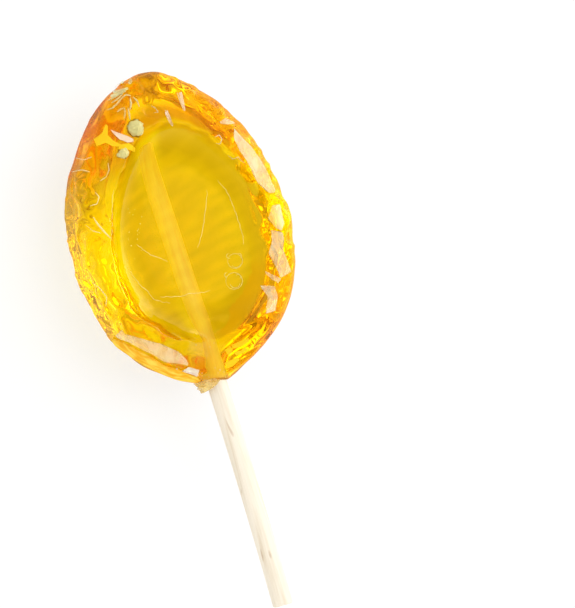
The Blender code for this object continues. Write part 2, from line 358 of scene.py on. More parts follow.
# Bright yellow glints on the rim
GLINTS = [
    ([(94, 140), (102, 133), (106, 124)], [(97, 147), (108, 143), (108, 126)]),
    ([(108, 135), (114, 141), (122, 145)], [(104, 143), (112, 147), (120, 147)]),
    ([(119, 145), (128, 143), (134, 147)], [(118, 150), (127, 150), (134, 152)]),
    ([(231, 345), (239, 341), (249, 337)], [(233, 349), (241, 347), (249, 341)]),
    ([(233, 352), (241, 350), (245, 346)], [(236, 356), (243, 353), (247, 349)]),
    ([(224, 350), (228, 348), (230, 346)], [(228, 356), (231, 354), (233, 350)]),
    ([(224, 363), (230, 360), (238, 357)], [(226, 370), (233, 367), (239, 361)]),
]

# The candy's lower lip on the left, and along it a pale line that is a painted highlight
HEM_THICKNESS = 0.3 * MM
HEM = [
    ([(112, 337), (115, 344), (137, 359.5), (158, 371), (178, 379), (194, 381), (201, 382)],
     [(118, 338.5), (130, 344), (142, 351), (153, 356), (164, 364), (178, 368), (196, 376), (202, 380)]),
]
HEM_HIGHLIGHT = [[(112, 338), (115, 345), (137, 360.5), (158, 372), (178, 380), (194, 382)]]

# Whitish scraps of film at the neck, the first of them a painted glint, and pinkish patches by the froth
# and at the tip, which are painted highlights
CLEAR_PATCHES = [
    # the first is a painted glint on the film
    ([(180, 371), (188, 366), (199, 370)], [(188, 372), (197, 376)]),
    ([(177, 367), (178, 369), (175, 375)], [(175, 368), (173, 374)]),
]
PINK_HIGHLIGHTS = [
    ([(110, 130), (118, 133), (126, 135.5), (133, 139)],
     [(112, 132.5), (119, 140), (127, 143.5), (133, 142)]),
    ([(167, 110), (170, 117), (173, 125)], [(164, 113), (167, 120), (172, 125.5)]),
    ([(181, 92), (183, 100), (185, 111)], [(178, 93), (180.5, 102), (184, 111)]),
]

# Painted glints on the film at the neck, as tiny bright balls: pixel and width in pixels of each
SPARKLE_SIZE = 0.4            # how much of that width each glint's ball takes up
SPARKLES = [
    ((198, 375), 3), ((202, 373), 2), ((201, 379), 2), ((205, 382), 3),
    ((197, 381), 2), ((202, 386), 3), ((207, 389), 2), ((199, 388), 2),
    ((214, 343), 2), ((210, 347), 2), ((215, 368), 2), ((220, 370), 3),
    ((218, 373), 2), ((224, 372), 2), ((209, 377), 2), ((196, 345), 2),
]

# The mesh of every patch
PATCH_LENGTHS = 40
PATCH_WIDTHS = 10
PATCH_SMOOTHING = 5
PATCH_STANDS_OFF = 0.22 * MM
PATCH_THICKNESS = 0.04 * MM

# The mesh of every ball
BALL_SIDES = 28
BALL_ROWS = 16
SPARKLE_SIDES = 6
SPARKLE_ROWS = 3
POLE_GAP = 0.001              # share of a row that is left open at each pole


def local_to_row():
    """The shift from the candy's own frame, with the rim at z = 0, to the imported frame."""
    stick_low, stick_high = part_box("stick")
    x = stick_high[0] - (STICK_BOW_X + STICK_DIAMETER / 2)
    y = stick_low[1] - (STICK_INNER_Y - STICK_LENGTH)
    return Vector((x, y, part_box("candy")[0][2] + THICKNESS))


SHIFT = local_to_row()


# Ways to make objects and materials


def mesh_object(name, points, faces, material):
    mesh = bpy.data.meshes.new(name)
    mesh.from_pydata([tuple(p) for p in points], [], faces)
    mesh.update()
    mesh.shade_smooth()
    mesh.materials.append(material)
    obj = bpy.data.objects.new(name, mesh)
    scene.collection.objects.link(obj)
    return obj


def new_material(name, colour, roughness):
    material = bpy.data.materials.new(name)
    material.use_nodes = True
    shader = material.node_tree.nodes["Principled BSDF"]
    shader.inputs["Base Color"].default_value = (*colour, 1.0)
    shader.inputs["Roughness"].default_value = roughness
    return material, material.node_tree, shader


def colour_ramp(tree, stops):
    ramp = tree.nodes.new("ShaderNodeValToRGB")
    for index, (position, colour) in enumerate(stops):
        element = ramp.color_ramp.elements[index]
        element.position = position
        element.color = (*colour, 1.0)
    return ramp


def part_of_candy(piece, slot, *nodes):
    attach(piece, "root")
    if nodes:
        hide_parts(*nodes)


# The candy's form


def smooth_step(low, high, value):
    share = np.clip((value - low) / (high - low), 0.0, 1.0)
    return share * share * (3.0 - 2.0 * share)


def outline_points(around):
    """The widest outline: 0 is the right side, +90 degrees the tip and -90 the neck."""
    along = np.sin(around)
    tip = along > 0
    taper = np.where(tip, TIP_TAPER[0] * np.abs(along) ** TIP_TAPER[1],
                     NECK_TAPER[0] * np.abs(along) ** NECK_TAPER[1])
    length = np.where(tip, TIP_LENGTH, NECK_LENGTH)
    return np.cos(around) * (1.0 - taper) * WIDTH / 2, along * length


def bowl_points(around, reach):
    along = reach * np.sin(around)
    half_width = BOWL_HALF_WIDTH * (1.0 - BOWL_TAPER * along)
    return half_width * reach * np.cos(around), BOWL_CENTRE_Y + BOWL_HALF_LENGTH * along


def bowl_reach(x, y):
    """0 in the middle of the bowl, 1 on its lip and over 1 outside."""
    along = (y - BOWL_CENTRE_Y) / BOWL_HALF_LENGTH
    half_width = BOWL_HALF_WIDTH * (1.0 - BOWL_TAPER * along)
    return np.hypot(x / half_width, along)


def bowl_sink(x, y):
    left = 1.0 - bowl_reach(x, y) ** BOWL_POWER
    return BOWL_DEPTH * 0.5 * (left + np.hypot(left, BOWL_EDGE))


def over_stick(x, y):
    """1 over the stick at the neck, and less to its sides and towards the bowl."""
    return smooth_step(*NECK_DIP_STARTS, -y) * np.exp(-(x / NECK_DIP_WIDTH) ** 2)


def neck_dip(x, y, z):
    """How far the front is sunk over the stick at the neck."""
    ends = 1.0 - smooth_step(*NECK_DIP_ENDS, -y)
    near_front = smooth_step(-SEAM_TIP, -SEAM_TIP / 2, z)
    return NECK_DIP * over_stick(x, y) * ends * near_front


def seam_depths(along):
    """Depth of the widest outline: shallow at the tip, and level with the stick at the neck."""
    neck_depth = STICK_DEPTH - STICK_RISE * NECK_LENGTH
    tip = SEAM_SIDE + (SEAM_TIP - SEAM_SIDE) * smooth_step(SEAM_TURNS, 1.0, along)
    neck = SEAM_SIDE + (neck_depth - SEAM_SIDE) * smooth_step(SEAM_TURNS, 1.0, -along)
    return np.where(along > 0, tip, neck)


def quarter_arcs(turn, powers):
    """Quarters of superellipses of these powers: level goes from 1 to 0 and rise from 0 to 1."""
    level, rise = max(math.cos(turn), 0.0), math.sin(turn)
    sizes = (level ** powers + rise ** powers) ** (-1.0 / powers)
    return level * sizes, rise * sizes


def candy_rings():
    """The candy before any wrinkle: rings of points from the bowl over the rim to the back."""
    around = np.arange(MERIDIANS) * 2 * math.pi / MERIDIANS
    along = np.sin(around)
    outline = np.array(outline_points(around))
    lip = np.array(bowl_points(around, 1.0))
    seam = seam_depths(along)
    rings = []
    for step in range(1, BOWL_RINGS):
        x, y = bowl_points(around, (step / BOWL_RINGS) ** LIP_CROWDING)
        rings.append((x, y, np.zeros(MERIDIANS)))
    at_neck = smooth_step(NECK_RIM_STARTS, 1.0, -along)
    powers = RIM_ROUNDNESS + (NECK_RIM_ROUNDNESS - RIM_ROUNDNESS) * at_neck
    for step in range(RIM_RINGS):
        level, rise = quarter_arcs(math.pi / 2 * (1.0 - step / RIM_RINGS), powers)
        x, y = lip + (outline - lip) * level
        rings.append((x, y, (rise - 1.0) * seam))
    at_neck = smooth_step(NECK_BACK_STARTS, 1.0, -along)
    powers = BACK_ROUNDNESS + (NECK_ROUNDNESS - BACK_ROUNDNESS) * at_neck
    for step in range(BACK_RINGS):
        level, rise = quarter_arcs(math.pi / 2 * step / BACK_RINGS, powers)
        x, y = outline * level
        rings.append((x, y, -seam - (THICKNESS + ROUND_BACK - seam) * rise))
    return np.array(rings).transpose(0, 2, 1)


def smooth_candy():
    """All points of the candy before any wrinkle, with the two middles last."""
    points = candy_rings().reshape(-1, 3)
    middles = [[0.0, BOWL_CENTRE_Y, 0.0], [0.0, 0.0, -THICKNESS - ROUND_BACK]]
    points = np.vstack([points, middles])
    front = points[:, 2] > -SEAM_TIP
    x, y, z = points[front].T
    points[front, 2] = z - bowl_sink(x, y) - neck_dip(x, y, z)
    return points


def ring_quads(first, last):
    """Quads between the rings from first to last."""
    index = np.arange(first * MERIDIANS, (last + 1) * MERIDIANS).reshape(-1, MERIDIANS)
    after = np.roll(index, -1, axis=1)
    quads = np.stack([index[:-1], index[1:], after[1:], after[:-1]], axis=-1).reshape(-1, 4)
    return [tuple(quad) for quad in quads.tolist()]


def candy_faces(rings):
    first = list(range(MERIDIANS))
    last = list(range((rings - 1) * MERIDIANS, rings * MERIDIANS))
    bowl, back = rings * MERIDIANS, rings * MERIDIANS + 1
    faces = ring_quads(0, rings - 1)
    faces += [(bowl, a, b) for a, b in zip(first, first[1:] + first[:1])]
    faces += [(back, b, a) for a, b in zip(last, last[1:] + last[:1])]
    return faces


def low_right_share(x, y):
    across = smooth_step(*LOW_RIGHT_ACROSS, x * 2 / WIDTH)
    return across * smooth_step(*LOW_RIGHT_DOWN, -y / NECK_LENGTH)


def wrinkle_share(points):
    """Where the film lies wrinkled: the rim and the sides, not the bowl, the dip or the back's middle."""
    x, y, z = points.T
    left = smooth_step(*LEFT_LIP_ACROSS, -x * 2 / WIDTH)
    rim = smooth_step(*SMOOTH_LIP, bowl_reach(x, y) + LEFT_LIP * left)
    length = np.where(y > 0, TIP_LENGTH, NECK_LENGTH)
    back = smooth_step(*SMOOTH_BACK, np.hypot(x * 2 / WIDTH, y / length))
    calm = CALM_RIGHT * low_right_share(x, y)
    return np.where(z > -SEAM_SIDE, rim * (1.0 - over_stick(x, y)), back) * (1.0 - calm)


def curl_height(place):
    """Round-backed curled folds, which follow the lines where a swirled noise is zero."""
    swirl = noise.noise_vector(place / SWIRL_LENGTH) * SWIRL
    value = noise.noise(place / CURL_LENGTH + swirl)
    spread = smooth_step(*CURL_SPREAD, noise.noise(place / CURL_SPREAD_LENGTH + CURL_SPREAD_SEED))
    left = smooth_step(*LEFT_CURLS_ACROSS, -place.x * 2 / WIDTH)
    return CURL_HEIGHT * math.exp(-(value / CURL_WIDTH) ** 2) * max(spread, LEFT_CURLS * left)


def wrinkle_height(place):
    """The folds and creases that the solid has, and the finer curls over them."""
    fold = noise.noise(place / FOLD_LENGTH)
    crease = noise.noise(place / CREASE_LENGTH + CREASE_SEED)
    height = FOLD_HEIGHT * fold + CREASE_HEIGHT * (CREASE_LEVEL - math.hypot(crease, CREASE_EDGE))
    return height + curl_height(place)


def image_ripple(place):
    """A place squeezed so that noise at it makes ripples that lie level in the photograph."""
    along = place[0] * math.cos(VIEW_ROLL) + place[1] * math.sin(VIEW_ROLL)
    across = place[1] * math.cos(VIEW_ROLL) - place[0] * math.sin(VIEW_ROLL)
    return Vector((along / MOTTLE_LENGTHS[0], across / MOTTLE_LENGTHS[1], place[2] / MOTTLE_LENGTHS[0]))


def between(starts, ends, value):
    """1 where the value is past its start and not yet at its end, with soft borders."""
    return smooth_step(*starts, value) * (1.0 - smooth_step(*ends, value))


def shade_and_light_regions(points, reach):
    """How much of each region of the skin each point has, from 0 to 1; the regions take painted shade,
    painted light and a painted glow.
    """
    x, y, z = points.T
    to_left, to_tip, to_neck = -x * 2 / WIDTH, y / TIP_LENGTH, -y / NECK_LENGTH
    front = z > -SEAM_SIDE - BOWL_DEPTH
    far = smooth_step(*FAR_SIDE, (x * FAR_SLANT[0] + np.abs(y) * FAR_SLANT[1]) / BOWL_HALF_LENGTH)
    beside_stick = 1.0 - np.exp(-((x - STICK_SHOWS_AT) / STICK_SHOWS_WIDTH) ** 4)
    bowl = (1.0 - smooth_step(*BOWL_ENDS, reach)) * front * beside_stick
    near_tip = smooth_step(*TIP_UP, to_tip) * front
    upper_left = smooth_step(*UPPER_LEFT_ACROSS, to_left) * smooth_step(*UPPER_LEFT_UP, to_tip)
    return {
        "bowl": bowl,
        "far wall": smooth_step(*WALL_STARTS, reach) * bowl * far,
        "tip": between(TIP_STARTS, TIP_ENDS, reach) * near_tip,
        "tip wall": between(TIP_WALL_STARTS, TIP_WALL_ENDS, reach) * near_tip,
        "neck": smooth_step(*NECK_DOWN, to_neck) * front * (1.0 - beside_stick),
        "left": smooth_step(*LEFT_ACROSS, to_left) * (1.0 - smooth_step(*LEFT_ENDS_UP, to_tip)),
        "upper left": upper_left * smooth_step(*UPPER_LEFT_STARTS, reach) * front,
        "low right": low_right_share(x, y) * (reach > 1.0),
        "tip edge": smooth_step(*TIP_EDGE_UP, to_tip) * smooth_step(*TIP_EDGE_STARTS, reach),
    }


def candy_tint_and_painted_light(points):
    """The skin's tint at each point, with painted shade and painted light by region, and as a fourth value
    the strength of a painted glow there.
    """
    x, y, _ = points.T
    waver = np.array([noise.noise(Vector(p) / TINT_WAVER_LENGTH) for p in points])
    reach = bowl_reach(x, y) + TINT_WAVER * waver
    share = shade_and_light_regions(points, reach)
    skin = np.ones((len(points), 4))
    # painted light: a glow, stronger at the left, the tip and the lower right, kept as the fourth value
    painted_glows = [(PAINTED_GLOW, reach > 1.0), (LEFT_PAINTED_GLOW, share["left"]),
             (TIP_PAINTED_GLOW, share["tip edge"]), (LOW_PAINTED_GLOW, share["low right"])]
    skin[:, 3] = sum(glow_level * where for glow_level, where in painted_glows)
    # painted shade and painted light: each region's tint darkens the skin there, and on the left raises
    # the green
    for region, tint in REGION_SHADE_AND_LIGHT_TINTS.items():
        skin[:, :3] *= 1.0 + share[region][:, None] * (np.array(tint) - 1.0)
    mottle = 1.0 + MOTTLE * np.array([noise.noise(image_ripple(p)) for p in points])
    skin[:, :3] *= np.array(CANDY_TINT) * np.where(reach < 1.0, mottle, 1.0)[:, None]
    skin[:, :3] = np.minimum(skin[:, :3], 1.0)
    return skin


# The materials


def clear_edges(tree, shader, skin):
    """Takes most of the white glare off the edges, where the skin is seen at a low angle from outside."""
    clear = tree.nodes.new("ShaderNodeBsdfRefraction")
    clear.inputs["Roughness"].default_value = 0.0
    clear.inputs["IOR"].default_value = CANDY_IOR
    edge = tree.nodes.new("ShaderNodeLayerWeight")
    edge.inputs["Blend"].default_value = 0.5
    ramp = tree.nodes.new("ShaderNodeMapRange")
    ramp.inputs["From Min"].default_value = GLARE_FACING[0]
    ramp.inputs["From Max"].default_value = GLARE_FACING[1]
    ramp.inputs["To Max"].default_value = GLARE_TAKEN
    side = tree.nodes.new("ShaderNodeNewGeometry")
    outside = tree.nodes.new("ShaderNodeMath")
    outside.operation = "SUBTRACT"
    outside.inputs[0].default_value = 1.0
    share = tree.nodes.new("ShaderNodeMath")
    share.operation = "MULTIPLY"
    mix = tree.nodes.new("ShaderNodeMixShader")
    tree.links.new(skin.outputs["Color"], clear.inputs["Color"])
    tree.links.new(edge.outputs["Facing"], ramp.inputs["Value"])
    tree.links.new(side.outputs["Backfacing"], outside.inputs[1])
    tree.links.new(ramp.outputs["Result"], share.inputs[0])
    tree.links.new(outside.outputs["Value"], share.inputs[1])
    tree.links.new(share.outputs["Value"], mix.inputs["Fac"])
    tree.links.new(shader.outputs["BSDF"], mix.inputs[1])
    tree.links.new(clear.outputs["BSDF"], mix.inputs[2])
    tree.links.new(mix.outputs["Shader"], tree.nodes["Material Output"].inputs["Surface"])


def candy_material():
    """Clear amber candy, whose body takes the blue out of the light and whose skin has tints by region,
    which are painted shade and painted light, and a painted glow.
    """
    material, tree, shader = new_material("clear_honey_candy", CANDY_TINT, 0.0)
    shader.inputs["Transmission Weight"].default_value = 1.0
    shader.inputs["IOR"].default_value = CANDY_IOR
    shader.inputs["Specular Tint"].default_value = (*GLARE_COLOUR, 1.0)
    skin = tree.nodes.new("ShaderNodeAttribute")
    skin.attribute_name = "skin"
    tree.links.new(skin.outputs["Color"], shader.inputs["Base Color"])
    # painted light: the skin's fourth value makes the candy glow
    tree.links.new(skin.outputs["Alpha"], shader.inputs["Emission Strength"])
    shader.inputs["Emission Color"].default_value = (*PAINTED_GLOW_COLOUR, 1.0)
    clear_edges(tree, shader, skin)
    absorb = tree.nodes.new("ShaderNodeVolumeAbsorption")
    absorb.inputs["Color"].default_value = (*BODY_COLOUR, 1.0)
    absorb.inputs["Density"].default_value = BODY_DENSITY
    tree.links.new(absorb.outputs["Volume"], tree.nodes["Material Output"].inputs["Volume"])
    return material


def drawn_noise(tree, place, stretch, detail):
    """Noise drawn out by its own scale in each direction."""
    mapping = tree.nodes.new("ShaderNodeMapping")
    mapping.inputs["Scale"].default_value = stretch
    grain = tree.nodes.new("ShaderNodeTexNoise")
    grain.inputs["Scale"].default_value = 1.0
    grain.inputs["Detail"].default_value = detail
    tree.links.new(place, mapping.inputs["Vector"])
    tree.links.new(mapping.outputs["Vector"], grain.inputs["Vector"])
    return grain.outputs["Fac"]


def mixed_into(tree, share, socket, colour):
    """The colour that a socket gives, with another colour mixed in by this share."""
    mix = tree.nodes.new("ShaderNodeMix")
    mix.data_type = "RGBA"
    colours = {s.identifier: s for s in mix.inputs}
    colours["B_Color"].default_value = (*colour, 1.0)
    tree.links.new(share, mix.inputs["Factor"])
    tree.links.new(socket, colours["A_Color"])
    return {s.identifier: s for s in mix.outputs}["Result_Color"]


def wood_material():
    """Sanded birch with long fine grain and a few brown flecks, with a painted glow on the wood inside the
    candy.
    """
    material, tree, shader = new_material("sanded_birch", (0.93, 0.86, 0.72), 0.6)
    place = tree.nodes.new("ShaderNodeTexCoord").outputs["Object"]
    split = tree.nodes.new("ShaderNodeSeparateXYZ")
    tree.links.new(place, split.inputs["Vector"])
    grain = colour_ramp(tree, GRAIN_STOPS)
    tree.links.new(drawn_noise(tree, place, *GRAIN), grain.inputs["Fac"])
    flecks = colour_ramp(tree, FLECK_STOPS)
    tree.links.new(drawn_noise(tree, place, *FLECKS), flecks.inputs["Fac"])
    candy_starts = SHIFT.y - NECK_LENGTH
    bare = tree.nodes.new("ShaderNodeMath")
    bare.operation = "LESS_THAN"
    bare.inputs[1].default_value = candy_starts
    tree.links.new(split.outputs["Y"], bare.inputs[0])
    on_bare = tree.nodes.new("ShaderNodeMath")
    on_bare.operation = "MULTIPLY"
    tree.links.new(flecks.outputs["Color"], on_bare.inputs[0])
    tree.links.new(bare.outputs["Value"], on_bare.inputs[1])
    wood = mixed_into(tree, on_bare.outputs["Value"], grain.outputs["Color"], FLECK_COLOUR)
    tree.links.new(wood, shader.inputs["Base Color"])
    # painted light: the wood inside the candy glows
    stick_glow = tree.nodes.new("ShaderNodeMapRange")
    stick_glow.inputs["From Min"].default_value = candy_starts
    stick_glow.inputs["From Max"].default_value = candy_starts + STICK_GLOW_RISE
    stick_glow.inputs["To Max"].default_value = STICK_PAINTED_GLOW
    tree.links.new(split.outputs["Y"], stick_glow.inputs["Value"])
    shader.inputs["Emission Color"].default_value = (*STICK_GLOW_COLOUR, 1.0)
    tree.links.new(stick_glow.outputs["Result"], shader.inputs["Emission Strength"])
    return material


def film_material(name):
    """Clear film with a pale veil, which is thicker in some places than in others."""
    colour, milkiness, roughness = FILMS[name]
    material, tree, shader = new_material(name, colour, roughness)
    shader.inputs["IOR"].default_value = FILM_IOR
    place = tree.nodes.new("ShaderNodeTexCoord").outputs["Object"]
    veil = tree.nodes.new("ShaderNodeMapRange")
    veil.inputs["From Min"].default_value = VEIL_NOISE[0]
    veil.inputs["From Max"].default_value = VEIL_NOISE[1]
    veil.inputs["To Min"].default_value = 1.0 - milkiness * (1.0 + VEIL_VARIES)
    veil.inputs["To Max"].default_value = 1.0 - milkiness * (1.0 - VEIL_VARIES)
    tree.links.new(drawn_noise(tree, place, *VEIL), veil.inputs["Value"])
    tree.links.new(veil.outputs["Result"], shader.inputs["Transmission Weight"])
    return material


def hem_material():
    """The candy's lower lip, mottled in orange and yellow."""
    material, tree, shader = new_material("hem_amber", (1.0, 0.50, 0.03), 0.3)
    place = tree.nodes.new("ShaderNodeTexCoord").outputs["Object"]
    mottle = colour_ramp(tree, HEM_STOPS)
    tree.links.new(drawn_noise(tree, place, *HEM_MOTTLE), mottle.inputs["Fac"])
    tree.links.new(mottle.outputs["Color"], shader.inputs["Base Color"])
    shader.inputs["Specular IOR Level"].default_value = 0.0
    return material


def glint_material():
    """Painted glints: film coloured bright yellow that lets some light through."""
    material, _, shader = new_material("glint_film", (1.0, 0.72, 0.02), 0.4)
    shader.inputs["Transmission Weight"].default_value = 0.4
    shader.inputs["IOR"].default_value = 1.1
    return material


def froth_material():
    material, _, shader = new_material("froth", (0.78, 0.70, 0.26), 0.5)
    shader.inputs["Transmission Weight"].default_value = 0.2
    return material


# The candy and its stick


def build_candy():
    noise.seed_set(SWIRL_SEED)
    points = smooth_candy()
    rings = BOWL_RINGS - 1 + RIM_RINGS + BACK_RINGS
    candy = mesh_object("clear_candy", points, candy_faces(rings), candy_material())
    skin = candy.data.color_attributes.new("skin", "FLOAT_COLOR", "POINT")
    skin.data.foreach_set("color", candy_tint_and_painted_light(points).astype(np.float32).ravel())
    normals = np.empty(len(points) * 3, np.float32)
    candy.data.vertex_normals.foreach_get("vector", normals)
    share = wrinkle_share(points)
    heights = [wrinkle_height(Vector(p)) * s if s > 0 else 0.0 for p, s in zip(points, share)]
    points = points + normals.reshape(-1, 3) * np.array(heights)[:, None]
    points[:, 2] = np.maximum(points[:, 2], -THICKNESS)
    points += np.array(SHIFT)
    candy.data.vertices.foreach_set("co", points.astype(np.float32).ravel())
    candy.data.update()
    part_of_candy(candy, "honey_candy", "candy")
    return candy


def dress_stick():
    """The stick keeps its solid's form and gets a finer material."""
    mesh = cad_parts["stick"].data
    mesh.materials.clear()
    mesh.materials.append(wood_material())


def stick_axis(y):
    x = STICK_BOW_X - STICK_BOW * (y - STICK_BOW_Y) ** 2
    return Vector((x, y, -STICK_DEPTH - STICK_RISE * y))


def gather_radius(turn, share):
    """Outer radius of the gathered film: the solid's pleats and tuft, with fine crumples."""
    many, few = FILM_PLEATS
    base, fine, coarse = PLEAT_SHARES
    pleat = base + fine * math.cos(many * turn + PLEAT_TWIST * share)
    pleat += coarse * math.cos(few * turn + PLEAT_START)
    tuft = max(-math.cos(turn), 0.0) ** 3
    open_end = 1.0 - FILM_CLOSES * share
    spread = CLING + (1.0 - CLING) * smooth_step(*CLING_ENDS, -math.cos(turn))
    radius = GAP + FILM_WALL + (FILM_PLEAT * pleat + FILM_TUFT * tuft) * open_end
    place = Vector((math.cos(turn), math.sin(turn), share * 2.0)) * radius / CRUMPLE_LENGTH
    return STICK_DIAMETER / 2 + (radius - CRUMPLE_HEIGHT * abs(noise.noise(place)) * 2.0) * spread


def build_gather():
    """Crumpled clear film round the stick, longest at the tuft on the left."""
    points, faces = [], []
    for step in range(GATHER_STEPS + 1):
        share = step / GATHER_STEPS
        for side in range(GATHER_SIDES):
            turn = 2 * math.pi * side / GATHER_SIDES
            length = FILM_LENGTH * (SHORT_SIDE + (1.0 - SHORT_SIDE) * max(-math.cos(turn), 0.0)) * share
            centre = stick_axis(FILM_START_Y + GATHER_LAPS - length)
            radius = gather_radius(turn, share)
            points.append(SHIFT + centre + Vector((math.cos(turn), 0.0, math.sin(turn))) * radius)
    for step in range(GATHER_STEPS):
        for side in range(GATHER_SIDES):
            after = (side + 1) % GATHER_SIDES
            first, second = step * GATHER_SIDES, (step + 1) * GATHER_SIDES
            faces.append((first + side, first + after, second + after, second + side))
    gather = mesh_object("crumpled_gather", points, faces, film_material("gather_film"))
    thicken(gather, PATCH_THICKNESS)
    part_of_candy(gather, "clear_film", "film_gather")


def thicken(obj, thickness):
    shell = obj.modifiers.new("thickness", "SOLIDIFY")
    shell.thickness = thickness
    shell.offset = 0.0


# Places on the candy that the photograph shows at a pixel


def view_axes():
    """Directions towards the camera, to the right and up in the photograph's frame."""
    to_camera = Vector((-math.sin(VIEW_LEAN), 0.0, math.cos(VIEW_LEAN)))
    level = Vector((0.0, 1.0, 0.0)).cross(to_camera).normalized()
    right = Matrix.Rotation(-VIEW_ROLL, 3, to_camera) @ level
    return to_camera, right, to_camera.cross(right)


def frame_point(pixel):
    """The place of a pixel in the plane through the candy's middle that faces the camera."""
    to_camera, right, up = view_axes()
    anchor = SHIFT - Vector((0.0, 0.0, SEAM_SIDE))
    place = anchor + right * (pixel[0] - CANDY_PIXEL[0]) * PIXEL
    return place - up * (pixel[1] - CANDY_PIXEL[1]) * PIXEL


def camera_place():
    middle = frame_point((FRAME_PIXELS[0] / 2, FRAME_PIXELS[1] / 2))
    return middle + view_axes()[0] * CAMERA_DISTANCE


def seen_on(tree, pixel):
    """The surface point and its normal that the camera sees at a pixel, or else the nearest."""
    start = camera_place()
    middle = frame_point(pixel)
    place, normal = tree.ray_cast(start, (middle - start).normalized())[:2]
    if place is None:
        place, normal = tree.find_nearest(middle)[:2]
    return place, normal


def along_pixels(pixels, count):
    """Evenly spaced pixels along a line of them."""
    line = np.array(pixels, float)
    steps = np.hypot(*np.diff(line, axis=0).T)
    distance = np.concatenate([[0.0], np.cumsum(steps)])
    wanted = np.linspace(0.0, distance[-1], count)
    return np.stack([np.interp(wanted, distance, line[:, axis]) for axis in range(2)], axis=1)


# The froth and the film's finer marks


def ball_mesh(places, sides, rows):
    """Points and faces of many balls, from their centres and radii."""
    points, faces = [], []
    for centre, radius in places:
        first = len(points)
        for row in range(rows + 1):
            polar = math.pi * (row + POLE_GAP) / (rows + 2 * POLE_GAP)
            for side in range(sides):
                turn = 2 * math.pi * side / sides
                reach = radius * math.sin(polar)
                offset = Vector((reach * math.cos(turn), reach * math.sin(turn), radius * math.cos(polar)))
                points.append(centre + offset)
        for row in range(rows):
            for side in range(sides):
                a = first + row * sides + side
                b = first + row * sides + (side + 1) % sides
                faces.append((a, a + sides, b + sides, b))
    return points, faces


def build_sparkles(tree):
    """Painted glints on the film at the neck, as tiny bright balls."""
    places = [(seen_on(tree, pixel)[0], size * PIXEL / 2 * SPARKLE_SIZE) for pixel, size in SPARKLES]
    material = new_material("sparkle_glint", (1.0, 0.96, 0.82), 0.2)[0]
    points, faces = ball_mesh(places, SPARKLE_SIDES, SPARKLE_ROWS)
    part_of_candy(mesh_object("film_sparkle_glints", points, faces, material), "clear_film")


def build_specks(tree):
    """A scatter of specks beside the stick."""
    rule = random.Random(SPECK_SEED)
    (left, top), (right, bottom) = SPECK_PIXELS
    specks = []
    for _ in range(SPECKS):
        pixel = (rule.uniform(left, right), rule.uniform(top, bottom))
        specks.append((seen_on(tree, pixel)[0], rule.uniform(*SPECK_SIZES) / 2))
    yellow = new_material("specks", (0.95, 0.80, 0.16), 0.5)[0]
    points, faces = ball_mesh(specks, BALL_SIDES, BALL_ROWS)
    part_of_candy(mesh_object("specks", points, faces, yellow), "honey_candy")


def froth_lump(point):
    return 1.0 + FROTH_LUMPS * noise.noise(point / FROTH_LUMP_LENGTH)


def build_froth(tree):
    """Rough froth balls that stand half out of the candy."""
    places = []
    for pixel, size in FROTH:
        place, normal = seen_on(tree, pixel)
        radius = size * PIXEL / 2
        places.append((place - normal * radius * FROTH_SINKS, radius))
    points, faces = ball_mesh(places, BALL_SIDES, BALL_ROWS)
    centres = [centre for centre, _ in places for _ in range(len(points) // len(places))]
    points = [centre + (point - centre) * froth_lump(point) for centre, point in zip(centres, points)]
    part_of_candy(mesh_object("froth", points, faces, froth_material()), "honey_candy")


def build_lines(tree, name, lines, radius, wiggle, material):
    """Thin curved ridges of film on the candy, which taper off at both ends."""
    rule = random.Random(len(lines))
    curve = bpy.data.curves.new(name, "CURVE")
    curve.dimensions = "3D"
    curve.bevel_depth = radius
    curve.bevel_resolution = 2
    curve.use_fill_caps = True
    for pixels in lines:
        count = LINE_POINTS * len(pixels)
        spline = curve.splines.new("NURBS")
        spline.points.add(count - 1)
        spline.use_endpoint_u = True
        spline.order_u = 4
        for index, pixel in enumerate(along_pixels(pixels, count)):
            place, normal = seen_on(tree, pixel)
            stray = Vector((rule.uniform(-1, 1), rule.uniform(-1, 1), 0.0)) * wiggle
            middle = math.sin(math.pi * (index + 0.5) / count) ** LINE_TAPER
            spline.points[index].co = (*(place + normal * radius * LINE_STANDS_OUT + stray), 1.0)
            spline.points[index].radius = LINE_END + (1.0 - LINE_END) * middle
    curve.materials.append(material)
    lines_object = bpy.data.objects.new(name, curve)
    scene.collection.objects.link(lines_object)
    part_of_candy(lines_object, "clear_film")


def ring_lines():
    """The bubbles' marks: an outer ring that is open in one place, and inner crescents, which are painted
    highlights.
    """
    lines = []
    for (x, y), size, start, end in RING_MARKS:
        steps = range(RING_MARK_STEPS + 1)
        turns = [math.radians(start + (end - start) * step / RING_MARK_STEPS) for step in steps]
        lines.append([(x + size / 2 * math.cos(turn), y + size / 2 * math.sin(turn)) for turn in turns])
    return lines


def smooth_grid(grid):
    """Draws each point of a grid towards the mean of its neighbours, with the edges kept in line."""
    for _ in range(PATCH_SMOOTHING):
        padded = np.pad(grid, ((1, 1), (1, 1), (0, 0)), mode="edge")
        around = padded[:-2, 1:-1] + padded[2:, 1:-1] + padded[1:-1, :-2] + padded[1:-1, 2:]
        grid = 0.5 * grid + 0.125 * around
    return grid


